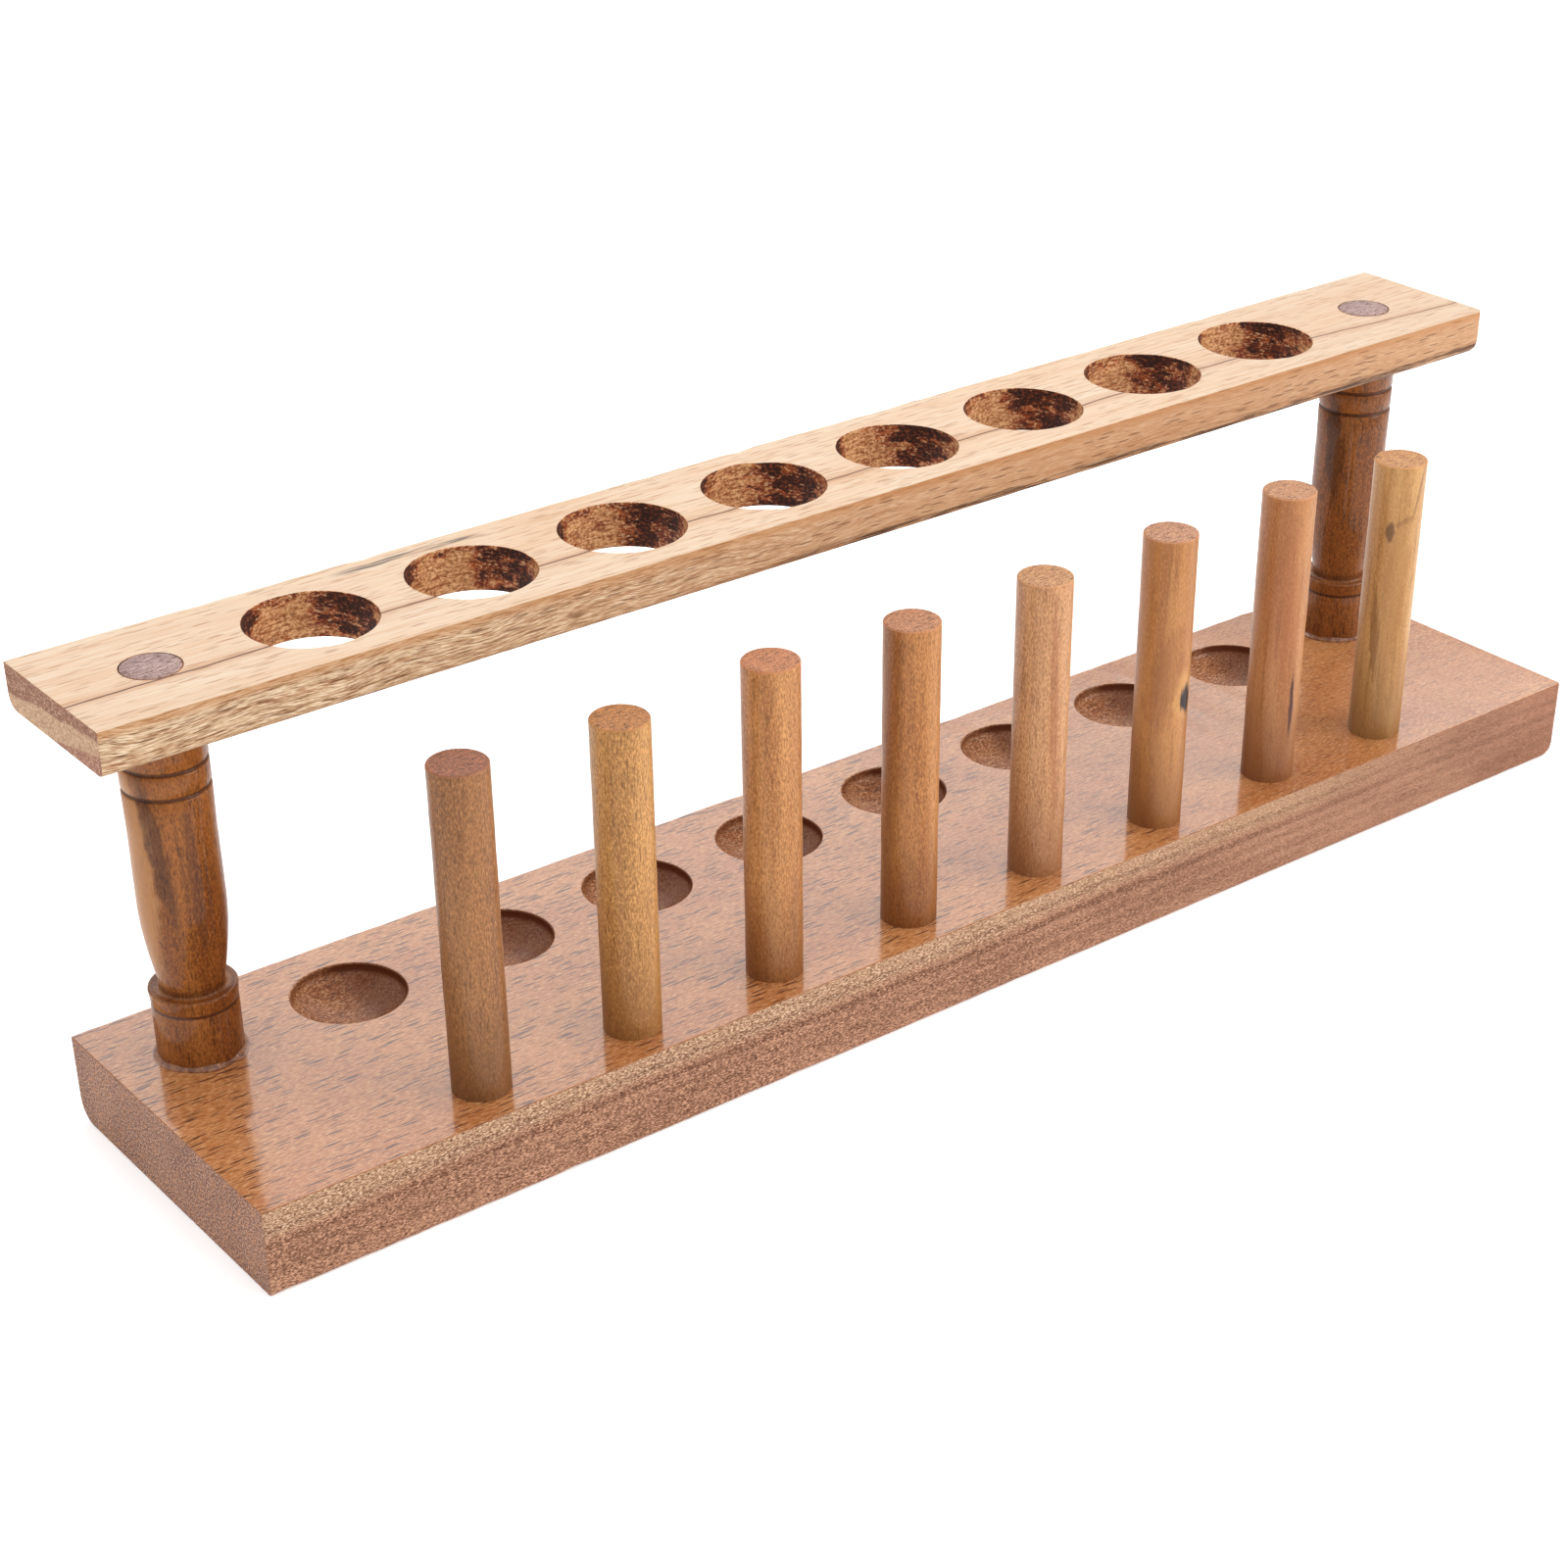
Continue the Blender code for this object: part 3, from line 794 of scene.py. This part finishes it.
def make_posts():
    glue = dried_glue()
    woods = {
        "left": post_wood("left_post_wood", (162, 98, 44), (130, 70, 26), (72, 36, 14), 11, (
            (-88, 36, 30, 22, 0.0, 0.7, (196, 138, 84)),
            (-50, 41, 12, 14, 1.1, 0.55, (66, 36, 20)),
            (-4, 34, 8, 14, 0.2, 0.4, (78, 42, 20)),
        )),
        "right": post_wood("right_post_wood", (160, 98, 48), (128, 72, 30), (70, 38, 16), 31, (
            (-76, 42, 16, 12, 0.5, 0.6, (52, 28, 16)),
        )),
    }
    for seed, (side, wood) in enumerate(woods.items()):
        x, y = centre_of(f"{side}_post")
        post = new_piece(f"{side}_turned_post", turned(post_profile(ceiling(x)), POST_SIDES), wood)
        roughen(post, POST_UNEVENNESS, POST_LUMP_SIZE, seed)
        smooth(post, 50)
        post.location = (x, y, 0)
        stand_for(post, f"{side}_post")
        make_glue(side, x, y, seed, glue)


def make_glue(side, x, y, seed, glue):
    """The bead of glue squeezed out round a post's foot."""
    floor = BASE_HIGH.z
    inner, outer = FOOT_RADIUS - GLUE_UNDER_FOOT, FOOT_RADIUS + GLUE_WIDTH
    under = floor - GLUE_IN_BASE
    slope = []
    steps = 8
    for i in range(steps + 1):
        t = i / steps
        slope.append((outer + (inner - outer) * t, floor + GLUE_HEIGHT * t**2))
    bm = turned([(0, under), (outer, under), *slope, (0, slope[-1][1])], POST_SIDES)
    bead = new_piece(f"{side}_glue_bead", bm, glue)
    for vertex in bead.data.vertices:
        outward = Vector((vertex.co.x, vertex.co.y, 0))
        if outward.length < inner:
            continue
        around = outward.normalized() * 2
        swell = noise.noise(Vector((around.x, around.y, seed * 5.0)))
        vertex.co += outward.normalized() * GLUE_WIDTH * 0.5 * swell
    smooth(bead, 60)
    bead.location = (x, y, 0)
    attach(bead, "root")


PEG_LOOKS = [
    # slot, pale streaks, ground, dark streaks, end grain, share of speckles, figures
    ("dark_peg_wood", (164, 112, 68), (142, 92, 52), (116, 74, 40), (158, 98, 70), 0.7, ()),
    ("olive_peg_wood", (200, 146, 86), (178, 124, 68), (140, 90, 44), (190, 126, 72), 0.7, ()),
    ("orange_peg_wood", (204, 144, 88), (176, 114, 62), (116, 64, 26), (202, 130, 88), 0.5, ()),
    ("orange_peg_wood", (192, 130, 74), (168, 104, 52), (114, 62, 26), (198, 134, 96), 0.5,
     ((-88, 40, 30, 30, 0.0, 0.4, (120, 70, 36)),)),
    ("light_peg_wood", (208, 154, 108), (186, 130, 84), (136, 82, 46), (212, 150, 104), 0.5,
     ((-14, 36, 9, 18, 0.4, 0.45, (150, 84, 54)),)),
    ("orange_peg_wood", (200, 140, 84), (174, 112, 60), (124, 72, 34), (206, 146, 112), 0.25,
     ((6, 26.5, 26, 4.6, 0.0, 0.6, (216, 160, 96)), (18, 25.5, 20, 2.8, 0.0, 1.0, (38, 24, 24)),
      (-40, 30, 34, 11, -2.0, 0.4, (142, 84, 48)))),
    ("orange_peg_wood", (196, 136, 86), (170, 108, 60), (120, 68, 34), (210, 148, 108), 0.25,
     ((-3, 16, 5, 6.5, 0.0, 1.0, (64, 28, 18)), (-40, 36, 40, 14, 0.0, 0.3, (168, 96, 62)))),
    ("olive_peg_wood", (206, 156, 98), (184, 130, 74), (132, 88, 42), (216, 150, 98), 0.25,
     ((4, 51, 4, 6.5, -2.6, 0.5, (118, 78, 44)), (-30, 45.5, 12, 1.1, -16, 0.4, (118, 78, 44)),
      (-56, 43.5, 9, 2.0, 0.0, 0.75, (84, 52, 34)), (-70, 22, 10, 9, 0.8, 0.6, (112, 70, 38)),
      (-36, 30, 30, 18, -0.6, 0.4, (158, 104, 52)))),
]


def make_pegs():
    for i, (node, look) in enumerate(zip(PEG_NAMES, PEG_LOOKS)):
        slot, light, middle, dark, end, speckles, marks = look
        low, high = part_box(node)
        radius, (x, y) = (high.x - low.x) / 2, centre_of(node)
        seed = 50 + 10 * i
        wood = peg_wood(f"peg_wood_{i + 1}", light, middle, dark, end, speckles, high.z, seed, marks)
        length = high.z - PEG_EDGE - low.z
        shaft = [(radius, low.z + length * j / PEG_RINGS) for j in range(PEG_RINGS)]
        rim = arc((radius - PEG_EDGE, high.z - PEG_EDGE), PEG_EDGE, 0, 90, 5)
        profile = [(0, low.z), *shaft, *rim, (radius * 0.5, high.z), (0, high.z)]
        peg = new_piece(f"dowel_{i + 1}", turned(profile, PEG_SIDES), wood)
        roughen(peg, PEG_UNEVENNESS, PEG_LUMP_SIZE, 20 + i)
        smooth(peg, 50)
        peg.location = (x, y, 0)
        stand_for(peg, node)


# ---------------------------------------------------------------- camera and light

def make_camera():
    data = bpy.data.cameras.new("camera")
    data.lens = CAMERA_LENS
    data.sensor_width = 36
    data.shift_y = CAMERA_SHIFT_UP
    camera = bpy.data.objects.new("camera", data)
    bpy.context.scene.collection.objects.link(camera)
    up = CAMERA_RIGHT.cross(CAMERA_FORWARD)
    turn = Matrix((CAMERA_RIGHT, up, -CAMERA_FORWARD)).transposed()
    camera.matrix_world = Matrix.Translation(CAMERA_PLACE) @ turn.to_4x4()
    bpy.context.scene.camera = camera


def soft_box(name, place, width, height, power):
    """A rectangular light aimed at the rack."""
    data = bpy.data.lights.new(name, "AREA")
    data.shape = "RECTANGLE"
    data.size = width
    data.size_y = height
    data.energy = power
    light = bpy.data.objects.new(name, data)
    bpy.context.scene.collection.objects.link(light)
    light.location = place
    light.rotation_euler = (-Vector(place)).to_track_quat("-Z", "Y").to_euler()


def make_studio():
    bm = bmesh.new()
    bmesh.ops.create_grid(bm, x_segments=1, y_segments=1, size=4.0)
    s = Shader("paper_floor")
    s.surface.inputs["Base Color"].default_value = (0.9, 0.9, 0.9, 1)
    s.surface.inputs["Roughness"].default_value = 0.9
    s.surface.inputs["Specular IOR Level"].default_value = 0.0
    s.surface.inputs["Emission Color"].default_value = (1, 1, 1, 1)
    s.surface.inputs["Emission Strength"].default_value = 0.3
    floor = new_piece("floor", bm, s.material)
    floor.location = (0, 0, BASE_LOW.z)

    world = bpy.data.worlds.new("studio")
    world.use_nodes = True
    nodes, links = world.node_tree.nodes, world.node_tree.links
    direction = nodes.new("ShaderNodeTexCoord")
    parts = nodes.new("ShaderNodeSeparateXYZ")
    links.new(direction.outputs["Generated"], parts.inputs[0])
    rise = nodes.new("ShaderNodeMapRange")
    links.new(parts.outputs["Z"], rise.inputs["Value"])
    rise.inputs["From Min"].default_value = math.sin(math.radians(HORIZON_DEGREES))
    rise.inputs["From Max"].default_value = math.sin(math.radians(ZENITH_DEGREES))
    rise.inputs["To Min"].default_value = HORIZON_LIGHT
    rise.inputs["To Max"].default_value = ZENITH_LIGHT
    links.new(rise.outputs[0], nodes["Background"].inputs["Strength"])
    nodes["Background"].inputs["Color"].default_value = (1, 1, 1, 1)
    bpy.context.scene.world = world
    soft_box("back_box", (0.58, 0.85, 0.90), 1.6, 0.8, 5.5)
    soft_box("top_box", (0.1, -0.1, 1.2), 1.0, 1.0, 3.0)
    soft_box("right_box", (0.8, -0.9, 0.6), 0.8, 0.8, 9.0)
    bpy.context.scene.view_settings.view_transform = "Standard"


make_camera()
make_studio()
make_base()
make_top()
make_posts()
make_pegs()
